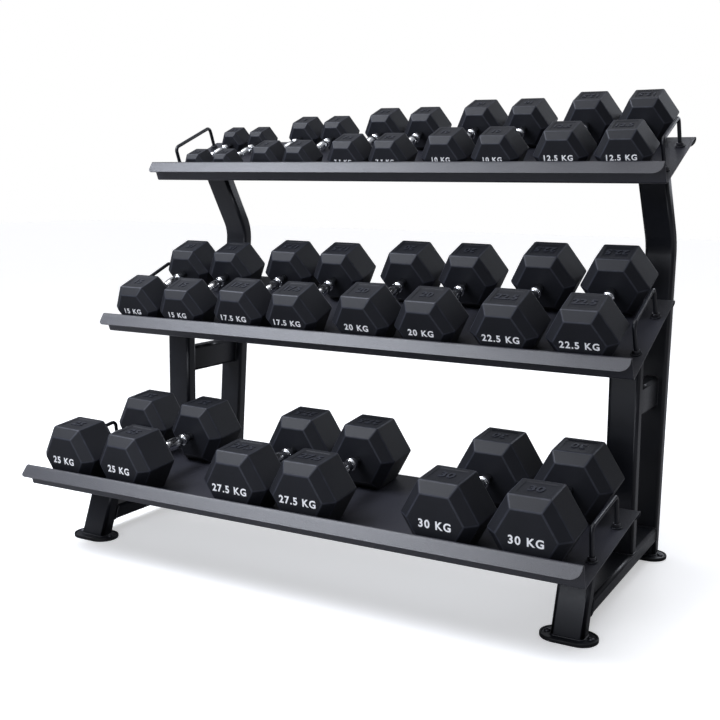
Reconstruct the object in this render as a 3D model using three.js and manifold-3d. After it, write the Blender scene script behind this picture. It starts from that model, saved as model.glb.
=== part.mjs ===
// Three-tier dumbbell rack, loaded with pairs of hexagonal dumbbells.
// Millimetres. X runs along the rack, the front faces -Y, Z is up and the feet stand on z = 0.
import * as THREE from 'three';
import { mergeVertices } from 'three/addons/utils/BufferGeometryUtils.js';
import Module from 'manifold-3d';

const wasm = await Module();
wasm.setup();

// ---- driving dimensions ----
const GAP = 0.3; // clearance between parts that touch
const OVERRUN = 400; // extra length on a piece that a trim cuts back
const LENGTH = 1500; // shelf length

const TUBE_WIDE = 76; // rectangular frame tube, long side of its section
const TUBE_NARROW = 38;
const TUBE_CORNER = 9;
const TUBE_CORNER_STEPS = 3;
const FRAME_X = 673; // centre of each side frame from the middle of the rack

const FOOT_LENGTH = 130; // rubber foot shoes, long along X
const FOOT_WIDTH = 81;
const FOOT_HEIGHT = 9;
const FOOT_FLOOR = 3; // rubber under the steel foot plate
const FOOT_RIM = 5;
const FOOT_PLATE = 4;
const FOOT_HOLE = 9; // floor fixing holes through the steel plate
const FOOT_HOLE_X = 49;
const FOOT_END_STEPS = 7; // facets in each quarter of a shoe's round ends
const FRONT_FOOT_Y = 147;
const REAR_FOOT_Y = 747;

const RAIL_BOTTOM = 42; // underside of the base rail
const LEG_FOOT_Y = 149; // front leg's centre line where it meets its foot plate
const LEG_LEAN = THREE.MathUtils.degToRad(20.5);
const POST_Y = 523; // upright post between the base rail and the middle shelf
const CROSS_Z = 438; // centre of the short crossmember between post and upright
const UPRIGHT_FOOT_Y = 756; // rear upright's centre line at its foot plate
const UPRIGHT_LEAN = THREE.MathUtils.degToRad(-4.2); // backwards, going up
const UPRIGHT_STRAIGHT = 783; // length below the bend
const UPRIGHT_BEND = THREE.MathUtils.degToRad(36.5); // forwards, towards the top shelf
const UPRIGHT_RADIUS = 100;
const UPRIGHT_BEND_STEPS = 7;

const SHEET = 3; // shelf steel
const FOLD_RADIUS = 5; // centre line radius of each fold
const FOLD_STEPS = 3;
const LIP = 62; // height of the stop at the front of a shelf
const FLANGE = 40; // free edge folded forwards and down from the lip
const FLANGE_TURN = THREE.MathUtils.degToRad(124);
const REAR_FLANGE = 26;
const FLANGE_CORNER = 24; // rounding of the flanges' free corners
const LEFT_CORNER = 10; // and of the front flange's left one
const FLANGE_CORNER_STEPS = 6;

const SADDLE_THICK = 6; // plates between frame and shelf
const SADDLE_WIDTH = 76;
const SADDLE_LENGTH = 180;
const SADDLE_CORNER = 12;
const SADDLE_CORNER_STEPS = 2;

const ROD = 10; // end guards
const ROD_SIDES = 8;
const GUARD_X = 726;
const GUARD_HEIGHT = 77;
const GUARD_BEND = 14;
const GUARD_BEND_STEPS = 4;
const WASHER = 26;
const WASHER_THICK = 3;
const WASHER_SIDES = 12;

// Heaviest dumbbell. Lighter ones shrink with the cube root of their weight.
const HEAVY = 30;
const HEAD_FLATS = 165; // across the flats of the hexagonal head
const HEAD_LENGTH = 90; // at full width
const HEAD_CHAMFER = 23; // along the handle, at each end of a head
const HEAD_END = 0.72; // size of a head's end face against its full width
const HEAD_LENGTH_POWER = 0.8; // a head's length shrinks less than its width
const HANDLE_POWER = 0.4; // and its handle's thickness less again
const HEAD_REST = 1; // between a front head and the lip
const GRIP_LIGHT = 118; // handle between the heads, lightest dumbbell
const GRIP_EXTRA = 19; // added at the grip's longest
const GRIP_LONGEST_FROM = 22.5; // kg, and the same for all that are heavier
const GRIP_RADIUS = 16.5; // at the middle of the handle's swell
const GRIP_END_RADIUS = 13.5;
const RING_RADIUS = 15.5; // finger stop at each end of the swell
const RING = 12;
const NECK_RADIUS = 10.5;
const NECK = 24; // from each head to its ring
const HANDLE_SUNK = 4; // handle's length inside each head
const HANDLE_SIDES = 12;

// One entry per shelf: the front bottom edge (y, z), the depth of its deck, its slope, how far
// the lip leans forwards, the guards' first leg and length, and the dumbbells. Each dumbbell has
// its weight, its place along the shelf and how many degrees its rear end is turned to the right.
const SHELVES = [
  { name: 'bottom', y: 0, z: 172, depth: 413, slope: 6.9, lipLean: 8, guardFrom: 118, guardLength: 182,
    saddleAt: 222, dumbbells: [[25, -627, 3], [25, -440, 4], [27.5, -108, 1], [27.5, 81, 1],
      [30, 427, 2], [30, 625, 0]] },
  { name: 'middle', y: 301, z: 544, depth: 386, slope: 22.1, lipLean: 0, guardFrom: 110, guardLength: 180,
    saddleAt: 240, dumbbells: [[15, -643.5, 1], [15, -489.5, 0], [17.5, -298.5, 2], [17.5, -134, 1],
      [20, 72, 2], [20, 247, 1.5], [22.5, 449, 1], [22.5, 632, 0]] },
  { name: 'top', y: 518, z: 970, depth: 316, slope: 22.7, lipLean: 0, guardFrom: 80, guardLength: 162,
    saddleAt: 146, leftGuard: { x: 720.5, height: 69, length: 177 },
    dumbbells: [[2.5, -606, 2.5], [2.5, -510, 1.5], [5, -362, 3], [5, -254, 3], [7.5, -101, 2],
      [7.5, 26, 2], [10, 188, 2], [10, 326, 1], [12.5, 494, 0], [12.5, 642.5, -1.6]] },
];

// ---- finishes ----
const blackPowderCoat = { color: 0x17181c, roughness: 0.55, metalness: 0.3 };
const texturedPowderCoat = { color: 0x1e1f24, roughness: 0.7, metalness: 0.3 };
const blackRubber = { color: 0x131418, roughness: 0.75, metalness: 0 };

// ---- helpers ----
const at = (y, z) => new THREE.Vector3(0, y, z);
const radians = (degrees) => THREE.MathUtils.degToRad(degrees);

function solidOf(geometry) {
  let bare = geometry.clone();
  bare.deleteAttribute('normal');
  bare.deleteAttribute('uv');
  bare = mergeVertices(bare, 1e-4);
  const mesh = new wasm.Mesh({
    numProp: 3,
    vertProperties: new Float32Array(bare.attributes.position.array),
    triVerts: new Uint32Array(bare.index.array),
  });
  mesh.merge();
  return new wasm.Manifold(mesh);
}

function geometryOf(solid) {
  const mesh = solid.getMesh();
  const geometry = new THREE.BufferGeometry();
  geometry.setAttribute('position', new THREE.BufferAttribute(new Float32Array(mesh.vertProperties), 3));
  geometry.setIndex(new THREE.BufferAttribute(new Uint32Array(mesh.triVerts), 1));
  geometry.computeVertexNormals();
  return geometry;
}

// What is left of a solid behind a plane: everything on the side the normal points to goes.
function trim(solid, point, normal) {
  const size = 2 * LENGTH;
  const block = new THREE.BoxGeometry(size, size, size);
  block.translate(0, 0, size / 2);
  const turn = new THREE.Quaternion().setFromUnitVectors(at(0, 1), normal.clone().normalize());
  block.applyMatrix4(new THREE.Matrix4().compose(point, turn, new THREE.Vector3(1, 1, 1)));
  return solid.subtract(solidOf(block));
}

function roundedRectangle(width, height, corner, steps) {
  const centres = [[1, 1], [-1, 1], [-1, -1], [1, -1]];
  const points = [];
  centres.forEach(([sx, sy], quarter) => {
    for (let step = 0; step <= steps; step += 1) {
      const angle = (Math.PI / 2) * (quarter + step / steps);
      points.push(new THREE.Vector2(
        sx * (width / 2 - corner) + corner * Math.cos(angle),
        sy * (height / 2 - corner) + corner * Math.sin(angle),
      ));
    }
  });
  return new THREE.Shape(points);
}

function extrude(shape, depth) {
  return new THREE.ExtrudeGeometry(shape, { depth, bevelEnabled: false });
}

// Straight tube or bar between two points in the YZ plane, its section's width along X.
function bar(shape, from, to) {
  const along = new THREE.Vector3(0, to.y - from.y, to.z - from.z);
  const length = along.length();
  along.normalize();
  const across = new THREE.Vector3(1, 0, 0);
  const depth = new THREE.Vector3().crossVectors(along, across);
  const geometry = extrude(shape, length);
  geometry.applyMatrix4(new THREE.Matrix4().makeBasis(across, depth, along).setPosition(0, from.y, from.z));
  return solidOf(geometry);
}

// Centre line of a bent bar in the YZ plane, given as stations that each hold a point and a
// direction, so that a straight run takes one step and a bend takes several.
class BentLine extends THREE.Curve {
  constructor(start, heading) {
    super();
    this.heading = heading;
    this.stations = [{ point: start.clone(), tangent: this.direction() }];
  }

  direction() {
    return new THREE.Vector3(0, Math.sin(this.heading), Math.cos(this.heading));
  }

  straight(length) {
    const { point } = this.stations.at(-1);
    const tangent = this.direction();
    this.stations.push({ point: point.clone().addScaledVector(tangent, length), tangent });
    return this;
  }

  bend(angle, radius, steps) {
    const chord = 2 * radius * Math.sin(Math.abs(angle) / steps / 2);
    for (let step = 0; step < steps; step += 1) {
      const { point } = this.stations.at(-1);
      this.heading += angle / steps / 2;
      const next = point.clone().addScaledVector(this.direction(), chord);
      this.heading += angle / steps / 2;
      this.stations.push({ point: next, tangent: this.direction() });
    }
    return this;
  }

  station(u) {
    return this.stations[Math.round(u * (this.stations.length - 1))];
  }

  getPointAt(u) {
    return this.station(u).point.clone();
  }

  getTangentAt(u) {
    return this.station(u).tangent.clone();
  }

  sweep(shape) {
    const steps = this.stations.length - 1;
    return solidOf(new THREE.ExtrudeGeometry(shape, { extrudePath: this, steps, bevelEnabled: false }));
  }
}

function addPart(parent, name, solid, finish) {
  const geometry = solid.isBufferGeometry ? solid : geometryOf(solid);
  const mesh = new THREE.Mesh(geometry, new THREE.MeshStandardMaterial(finish));
  mesh.name = name;
  parent.add(mesh);
  return mesh;
}

// ---- shelf trays ----

// Cross-section of a folded sheet in the (depth, height) plane of a shelf. It starts at the
// free edge of the rear flange and runs under the deck to the front. A positive turn is clockwise.
function foldedSheet(start, heading, moves) {
  const left = [];
  const right = [];
  const spot = start.clone();
  let angle = heading;
  const mark = () => {
    const side = new THREE.Vector2(-Math.sin(angle), Math.cos(angle)).multiplyScalar(SHEET / 2);
    left.push(spot.clone().add(side));
    right.push(spot.clone().sub(side));
  };
  mark();
  moves.forEach(({ ahead, turn }) => {
    if (ahead) {
      spot.add(new THREE.Vector2(Math.cos(angle), Math.sin(angle)).multiplyScalar(ahead));
      mark();
      return;
    }
    const half = turn / FOLD_STEPS / 2;
    const chord = 2 * FOLD_RADIUS * Math.sin(Math.abs(half));
    for (let step = 0; step < FOLD_STEPS; step += 1) {
      angle -= half;
      spot.add(new THREE.Vector2(Math.cos(angle), Math.sin(angle)).multiplyScalar(chord));
      angle -= half;
      mark();
    }
  });
  return new THREE.Shape([...left, ...right.reverse()]);
}

// Block that takes the square corner at (0, 0) off a flange's end, leaving a quarter round.
function cornerCutter(side, edge) {
  const shape = new THREE.Shape();
  shape.moveTo(0, -edge);
  shape.lineTo(edge * 2, -edge);
  shape.lineTo(edge * 2, edge);
  shape.lineTo(-edge, edge);
  shape.lineTo(-edge, 0);
  for (let step = 1; step < FLANGE_CORNER_STEPS; step += 1) {
    const turn = (Math.PI / 2) * (1 - step / FLANGE_CORNER_STEPS);
    shape.lineTo(-edge + edge * Math.cos(turn), -edge + edge * Math.sin(turn));
  }
  const geometry = extrude(shape, 2 * edge);
  geometry.translate(0, 0, -edge);
  if (side < 0) geometry.applyMatrix4(new THREE.Matrix4().makeRotationY(Math.PI));
  return geometry;
}

function buildTray({ depth, lipLean }) {
  const lipTurn = radians(90 - lipLean);
  // Tangent lengths that each fold takes from the straight stretches beside it.
  const quarter = FOLD_RADIUS;
  const lipFold = FOLD_RADIUS * Math.tan(lipTurn / 2);
  const flangeFold = FOLD_RADIUS * Math.tan(FLANGE_TURN / 2);
  const middle = SHEET / 2;
  const profile = foldedSheet(new THREE.Vector2(depth - middle, -REAR_FLANGE), Math.PI / 2, [
    { ahead: REAR_FLANGE + middle - quarter },
    { turn: -Math.PI / 2 },
    { ahead: depth - SHEET - quarter - lipFold },
    { turn: lipTurn },
    { ahead: LIP - middle - lipFold - flangeFold },
    { turn: -FLANGE_TURN },
    { ahead: FLANGE - flangeFold },
  ]);
  const sheet = extrude(profile, LENGTH);
  sheet.applyMatrix4(new THREE.Matrix4().makeBasis(
    new THREE.Vector3(0, 1, 0),
    new THREE.Vector3(0, 0, 1),
    new THREE.Vector3(1, 0, 0),
  ));
  sheet.translate(-LENGTH / 2, 0, 0);
  let tray = solidOf(sheet);

  const lipTilt = radians(lipLean);
  const lipTop = at(-LIP * Math.sin(lipTilt) + middle, LIP * Math.cos(lipTilt));
  const flangeAngle = Math.PI / 2 + lipTilt + FLANGE_TURN;
  const flangeWay = at(Math.cos(flangeAngle), Math.sin(flangeAngle));
  [-1, 1].forEach((side) => {
    const front = cornerCutter(side, side < 0 ? LEFT_CORNER : FLANGE_CORNER);
    front.applyMatrix4(new THREE.Matrix4().makeBasis(
      new THREE.Vector3(1, 0, 0),
      flangeWay,
      new THREE.Vector3().crossVectors(new THREE.Vector3(1, 0, 0), flangeWay),
    ));
    front.translate(side * LENGTH / 2, lipTop.y + flangeWay.y * FLANGE, lipTop.z + flangeWay.z * FLANGE);
    tray = tray.subtract(solidOf(front));

    const rear = cornerCutter(side, FLANGE_CORNER);
    rear.applyMatrix4(new THREE.Matrix4().makeRotationX(-Math.PI / 2));
    rear.translate(side * LENGTH / 2, depth - middle, -REAR_FLANGE);
    tray = tray.subtract(solidOf(rear));
  });
  return tray;
}

// ---- end guards: a bent rod with a washer at each foot ----
function buildGuard(from, length, height) {
  const section = roundedRectangle(ROD, ROD, ROD / 2, ROD_SIDES / 4);
  const foot = SHEET + GAP;
  const leg = height - foot - GUARD_BEND + SHEET;
  const line = new BentLine(at(from, foot), 0);
  line.straight(leg)
    .bend(Math.PI / 2, GUARD_BEND, GUARD_BEND_STEPS)
    .straight(length - 2 * GUARD_BEND)
    .bend(Math.PI / 2, GUARD_BEND, GUARD_BEND_STEPS)
    .straight(leg);
  let guard = line.sweep(section);
  [from, from + length].forEach((y) => {
    const washer = new THREE.CylinderGeometry(WASHER / 2, WASHER / 2, WASHER_THICK, WASHER_SIDES);
    washer.rotateX(Math.PI / 2);
    washer.translate(0, y, foot + WASHER_THICK / 2);
    guard = guard.add(solidOf(washer));
  });
  return guard;
}

// ---- dumbbells ----
function dumbbellSizes(weight) {
  const scale = Math.cbrt(weight / HEAVY);
  const sizes = {
    flats: HEAD_FLATS * scale,
    length: HEAD_LENGTH * scale ** HEAD_LENGTH_POWER,
    chamfer: HEAD_CHAMFER * scale,
    grip: GRIP_LIGHT + GRIP_EXTRA * Math.min(1, weight / GRIP_LONGEST_FROM) ** 2,
    thickness: scale ** HANDLE_POWER,
  };
  sizes.headSpan = sizes.length + 2 * sizes.chamfer;
  sizes.reach = sizes.headSpan + sizes.grip / 2; // from its centre to either end
  return sizes;
}

// Lies along Y about its own centre, with a flat of each head down.
function buildDumbbell(weight) {
  const { flats, length, chamfer, grip, thickness, headSpan, reach } = dumbbellSizes(weight);
  const corner = flats / Math.sqrt(3);
  const headAt = (start) => {
    const profile = [
      [0, start],
      [corner * HEAD_END, start],
      [corner, start + chamfer],
      [corner, start + chamfer + length],
      [corner * HEAD_END, start + headSpan],
      [0, start + headSpan],
    ].map(([radius, y]) => new THREE.Vector2(radius, y));
    const head = new THREE.LatheGeometry(profile, 6);
    head.rotateY(Math.PI / 2);
    return solidOf(head);
  };
  const frontHalf = [
    [0, headSpan - HANDLE_SUNK],
    [NECK_RADIUS, headSpan - HANDLE_SUNK],
    [NECK_RADIUS, headSpan + NECK],
    [RING_RADIUS, headSpan + NECK],
    [RING_RADIUS, headSpan + NECK + RING],
    [GRIP_END_RADIUS, headSpan + NECK + RING],
    [GRIP_RADIUS, reach],
  ];
  const rearHalf = frontHalf.slice(0, -1).reverse().map(([radius, y]) => [radius, 2 * reach - y]);
  const handleProfile = [...frontHalf, ...rearHalf]
    .map(([radius, y]) => new THREE.Vector2(radius * thickness, y));
  const handle = solidOf(new THREE.LatheGeometry(handleProfile, HANDLE_SIDES));
  const whole = headAt(0).add(handle).add(headAt(headSpan + grip));
  return whole.translate([0, -reach, 0]);
}

// ---- one shelf with its guards, saddles and dumbbells, in the plane of its deck ----
function addShelf(rack, shelf) {
  const group = new THREE.Group();
  group.position.set(0, shelf.y, shelf.z);
  group.rotation.x = radians(shelf.slope);
  rack.add(group);
  addPart(group, `${shelf.name}_shelf_tray`, buildTray(shelf), texturedPowderCoat);

  [['left', -1], ['right', 1]].forEach(([side, sign]) => {
    const own = { x: GUARD_X, height: GUARD_HEIGHT, length: shelf.guardLength, ...shelf[`${side}Guard`] };
    const rod = buildGuard(shelf.guardFrom, own.length, own.height);
    addPart(group, `${side}_${shelf.name}_guard_rod`, rod, blackPowderCoat).position.x = sign * own.x;
    const outline = roundedRectangle(SADDLE_WIDTH, SADDLE_LENGTH, SADDLE_CORNER, SADDLE_CORNER_STEPS);
    const plate = extrude(outline, SADDLE_THICK);
    const saddle = addPart(group, `${side}_${shelf.name}_saddle_plate`, plate, blackPowderCoat);
    saddle.position.set(sign * FRAME_X, shelf.saddleAt, -SADDLE_THICK - GAP);
  });

  const deckTop = SHEET + GAP;
  const lipInside = SHEET + HEAD_REST;
  const copies = new Map();
  shelf.dumbbells.forEach(([weight, x, degrees]) => {
    const copy = (copies.get(weight) ?? 0) + 1;
    copies.set(weight, copy);
    const place = copy === 1 ? 'left' : 'right';
    const label = String(weight).replace('.', '_');
    const dumbbell = addPart(group, `dumbbell_${label}kg_${place}`, buildDumbbell(weight), blackRubber);
    const { flats, reach } = dumbbellSizes(weight);
    const turn = radians(degrees);
    const endCorner = (flats / Math.sqrt(3)) * HEAD_END;
    const back = reach * Math.cos(turn) + endCorner * Math.sin(Math.abs(turn));
    dumbbell.position.set(x, lipInside + back, deckTop + flats / 2);
    dumbbell.rotation.z = -turn;
  });
}

// The plane just under a shelf's saddle plates, as a point and an upward normal.
function saddlePlane({ y, z, slope }) {
  const tilt = radians(slope);
  const normal = at(-Math.sin(tilt), Math.cos(tilt));
  return { point: at(y, z).addScaledVector(normal, -SADDLE_THICK - 2 * GAP), normal };
}

// ---- side frames ----
function obround(length, width) {
  return roundedRectangle(length, width, width / 2, FOOT_END_STEPS);
}

function addFoot(frame, name, y) {
  let shoe = solidOf(extrude(obround(FOOT_LENGTH, FOOT_WIDTH), FOOT_HEIGHT));
  const recess = extrude(obround(FOOT_LENGTH - 2 * FOOT_RIM, FOOT_WIDTH - 2 * FOOT_RIM), FOOT_HEIGHT);
  recess.translate(0, 0, FOOT_FLOOR);
  shoe = shoe.subtract(solidOf(recess));
  addPart(frame, `${name}_foot_shoe`, shoe, blackRubber).position.y = y;

  const slack = 2 * (FOOT_RIM + GAP);
  let plate = solidOf(extrude(obround(FOOT_LENGTH - slack, FOOT_WIDTH - slack), FOOT_PLATE));
  [-1, 1].forEach((side) => {
    const hole = new THREE.CylinderGeometry(FOOT_HOLE / 2, FOOT_HOLE / 2, 4 * FOOT_PLATE, 10);
    hole.rotateX(Math.PI / 2);
    hole.translate(side * FOOT_HOLE_X, 0, 0);
    plate = plate.subtract(solidOf(hole));
  });
  addPart(frame, `${name}_foot_plate`, plate, blackPowderCoat).position.set(0, y, FOOT_FLOOR + GAP);
}

function addSideFrame(rack, side, sign) {
  const frame = new THREE.Group();
  frame.position.x = sign * FRAME_X;
  rack.add(frame);
  const [bottom, middle, top] = SHELVES.map(saddlePlane);
  const footTop = FOOT_FLOOR + FOOT_PLATE + 2 * GAP;
  const tube = roundedRectangle(TUBE_WIDE, TUBE_NARROW, TUBE_CORNER, TUBE_CORNER_STEPS);
  const crossTube = roundedRectangle(TUBE_NARROW, TUBE_WIDE, TUBE_CORNER, TUBE_CORNER_STEPS);
  const half = TUBE_NARROW / 2;
  const down = at(0, -1);

  addFoot(frame, `${side}_front`, FRONT_FOOT_Y);
  addFoot(frame, `${side}_rear`, REAR_FOOT_Y);

  const legWay = at(Math.sin(LEG_LEAN), Math.cos(LEG_LEAN));
  const legFoot = at(LEG_FOOT_Y, footTop);
  const alongLeg = (distance) => legFoot.clone().addScaledVector(legWay, distance);
  let leg = bar(tube, alongLeg(-half), alongLeg(OVERRUN));
  leg = trim(leg, legFoot, down);
  leg = trim(leg, bottom.point, bottom.normal);
  addPart(frame, `${side}_front_leg`, leg, blackPowderCoat);

  const leanWay = at(-Math.sin(UPRIGHT_LEAN), Math.cos(UPRIGHT_LEAN));
  const uprightFoot = at(UPRIGHT_FOOT_Y, footTop);
  const line = new BentLine(uprightFoot.clone().addScaledVector(leanWay, -half), -UPRIGHT_LEAN);
  line.straight(UPRIGHT_STRAIGHT + half)
    .bend(-UPRIGHT_BEND, UPRIGHT_RADIUS, UPRIGHT_BEND_STEPS)
    .straight(OVERRUN);
  let upright = line.sweep(tube);
  upright = trim(upright, uprightFoot, down);
  upright = trim(upright, top.point, top.normal);
  addPart(frame, `${side}_rear_upright`, upright, blackPowderCoat);

  // Faces of the leg and the upright that the rails butt against.
  const legBack = at(Math.cos(LEG_LEAN), -Math.sin(LEG_LEAN));
  const legFace = legFoot.clone().addScaledVector(legBack, half + GAP);
  const uprightFront = at(-Math.cos(UPRIGHT_LEAN), -Math.sin(UPRIGHT_LEAN));
  const uprightFace = uprightFoot.clone().addScaledVector(uprightFront, half + GAP);

  const railZ = RAIL_BOTTOM + half;
  let rail = bar(tube, at(FRONT_FOOT_Y, railZ), at(REAR_FOOT_Y + half, railZ));
  rail = trim(rail, legFace, legBack.clone().negate());
  rail = trim(rail, uprightFace, uprightFront.clone().negate());
  addPart(frame, `${side}_base_rail`, rail, blackPowderCoat);

  let post = bar(tube, at(POST_Y, RAIL_BOTTOM + TUBE_NARROW + GAP), at(POST_Y, middle.point.z + OVERRUN));
  post = trim(post, middle.point, middle.normal);
  addPart(frame, `${side}_front_post`, post, blackPowderCoat);

  let cross = bar(crossTube, at(POST_Y + half + GAP, CROSS_Z), at(REAR_FOOT_Y + OVERRUN, CROSS_Z));
  cross = trim(cross, uprightFace, uprightFront.clone().negate());
  addPart(frame, `${side}_crossmember`, cross, blackPowderCoat);
}

// ---- assembly ----
const rack = new THREE.Group();
addSideFrame(rack, 'left', -1);
addSideFrame(rack, 'right', 1);
SHELVES.forEach((shelf) => addShelf(rack, shelf));

// The origin lies on the floor under the middle of the rack's overall box.
const bounds = new THREE.Box3().setFromObject(rack, true);
rack.position.y = -(bounds.min.y + bounds.max.y) / 2;

export default rack;
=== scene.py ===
# Three-tier dumbbell rack, loaded with pairs of hexagonal rubber dumbbells.
# Metres. X runs along the rack, the front faces -Y, Z is up and the feet stand on z = 0.
import math

import bmesh
import bpy
from mathutils import Matrix, Vector


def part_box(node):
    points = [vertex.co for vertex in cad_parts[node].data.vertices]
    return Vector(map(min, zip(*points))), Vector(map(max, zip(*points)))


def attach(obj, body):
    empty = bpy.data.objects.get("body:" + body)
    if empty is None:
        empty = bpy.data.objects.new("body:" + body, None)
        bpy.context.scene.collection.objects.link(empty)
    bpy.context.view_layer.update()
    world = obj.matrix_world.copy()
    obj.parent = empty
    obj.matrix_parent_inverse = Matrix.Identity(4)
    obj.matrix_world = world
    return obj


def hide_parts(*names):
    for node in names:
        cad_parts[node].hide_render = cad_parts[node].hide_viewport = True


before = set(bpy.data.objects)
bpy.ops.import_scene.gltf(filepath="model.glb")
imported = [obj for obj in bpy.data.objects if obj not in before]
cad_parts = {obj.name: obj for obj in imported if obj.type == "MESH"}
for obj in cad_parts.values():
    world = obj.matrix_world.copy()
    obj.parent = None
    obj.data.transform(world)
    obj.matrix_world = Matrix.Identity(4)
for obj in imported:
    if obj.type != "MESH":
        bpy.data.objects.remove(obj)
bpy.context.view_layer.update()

MM = 0.001

# ---- driving dimensions, as in the CAD part ----
GAP = 0.3 * MM  # clearance between parts that touch
LENGTH = 1500 * MM  # shelf length

TUBE_WIDE = 76 * MM  # rectangular frame tube, long side of its section
TUBE_NARROW = 38 * MM
TUBE_CORNER = 9 * MM
FRAME_X = 673 * MM  # centre of each side frame

FOOT_LENGTH = 130 * MM  # rubber foot shoes, long along X
FOOT_WIDTH = 81 * MM
FOOT_FLOOR = 3 * MM
FOOT_RIM = 5 * MM
FOOT_PLATE = 4 * MM
FOOT_SCREW_X = 49 * MM
FRONT_FOOT_Y = 147 * MM
REAR_FOOT_Y = 747 * MM

RAIL_BOTTOM = 42 * MM
LEG_FOOT_Y = 149 * MM
LEG_LEAN = math.radians(20.5)
POST_Y = 523 * MM
CROSS_Z = 438 * MM
UPRIGHT_FOOT_Y = 756 * MM
UPRIGHT_LEAN = math.radians(4.2)
UPRIGHT_STRAIGHT = 783 * MM
UPRIGHT_BEND = math.radians(36.5)
UPRIGHT_RADIUS = 100 * MM

SHEET = 3 * MM  # shelf steel
FOLD_RADIUS = 5 * MM
LIP = 62 * MM
FLANGE = 40 * MM
FLANGE_TURN = math.radians(124)
REAR_FLANGE = 26 * MM
FLANGE_CORNER = 24 * MM
LEFT_CORNER = 10 * MM  # the front flange's left one

SADDLE_THICK = 6 * MM
SADDLE_WIDTH = 76 * MM
SADDLE_LENGTH = 180 * MM
SADDLE_CORNER = 12 * MM
SADDLE_SCREW_X = 0.33 * SADDLE_WIDTH
SADDLE_SCREW_Y = 0.4 * SADDLE_LENGTH

ROD = 10 * MM
GUARD_X = 726 * MM
GUARD_HEIGHT = 77 * MM
GUARD_BEND = 14 * MM
WASHER = 26 * MM
WASHER_THICK = 3 * MM
NUT_FLATS = 16 * MM
NUT_HEIGHT = 8 * MM

HEAVY = 30  # kg, the heaviest dumbbell
HEAD_FLATS = 165 * MM
HEAD_LENGTH = 90 * MM
HEAD_CHAMFER = 23 * MM
HEAD_END = 0.72  # size of a head's end face against its full width
HEAD_REST = 1 * MM  # between a front head and the lip
HEAD_LENGTH_POWER = 0.8
HANDLE_POWER = 0.4
GRIP_LIGHT = 118 * MM
GRIP_EXTRA = 19 * MM
GRIP_LONGEST_FROM = 22.5  # kg
GRIP_RADIUS = 16.5 * MM
GRIP_END_RADIUS = 13.5 * MM
GROOVE_RADIUS = 11.5 * MM
GROOVE = 6 * MM
RING_RADIUS = 15.5 * MM
RING = 12 * MM
NECK_RADIUS = 10.5 * MM
NECK = 24 * MM
HANDLE_SUNK = 4 * MM

# Lengths in millimetres. Each dumbbell has its weight in kilograms, its place along the shelf, and how
# many degrees its rear end is turned to the right.
SHELVES = {
    "bottom": dict(
        y=0, z=172, depth=413, slope=6.9, lip_lean=8, guard_from=118, guard_length=182, saddle=222,
        dumbbells=[(25, -627, 3), (25, -440, 4), (27.5, -108, 1), (27.5, 81, 1), (30, 427, 2),
                   (30, 625, 0)],
    ),
    "middle": dict(
        y=301, z=544, depth=386, slope=22.1, lip_lean=0, guard_from=110, guard_length=180, saddle=240,
        dumbbells=[(15, -643.5, 1), (15, -489.5, 0), (17.5, -298.5, 2), (17.5, -134, 1), (20, 72, 2),
                   (20, 247, 1.5), (22.5, 449, 1), (22.5, 632, 0)],
    ),
    "top": dict(
        y=518, z=970, depth=316, slope=22.7, lip_lean=0, guard_from=80, guard_length=162, saddle=146,
        left_guard=dict(x=720.5, height=69, length=177),
        dumbbells=[(2.5, -606, 2.5), (2.5, -510, 1.5), (5, -362, 3), (5, -254, 3), (7.5, -101, 2),
                   (7.5, 26, 2), (10, 188, 2), (10, 326, 1), (12.5, 494, 0), (12.5, 642.5, -1.6)],
    ),
}
SIDES = {"left": -1, "right": 1}

# The CAD part is centred on its own box, so its feet say how far its Y values are shifted.
foot_low, foot_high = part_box("right_front_foot_shoe")
ROW_Y = (foot_low.y + foot_high.y) / 2 - FRONT_FOOT_Y


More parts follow.
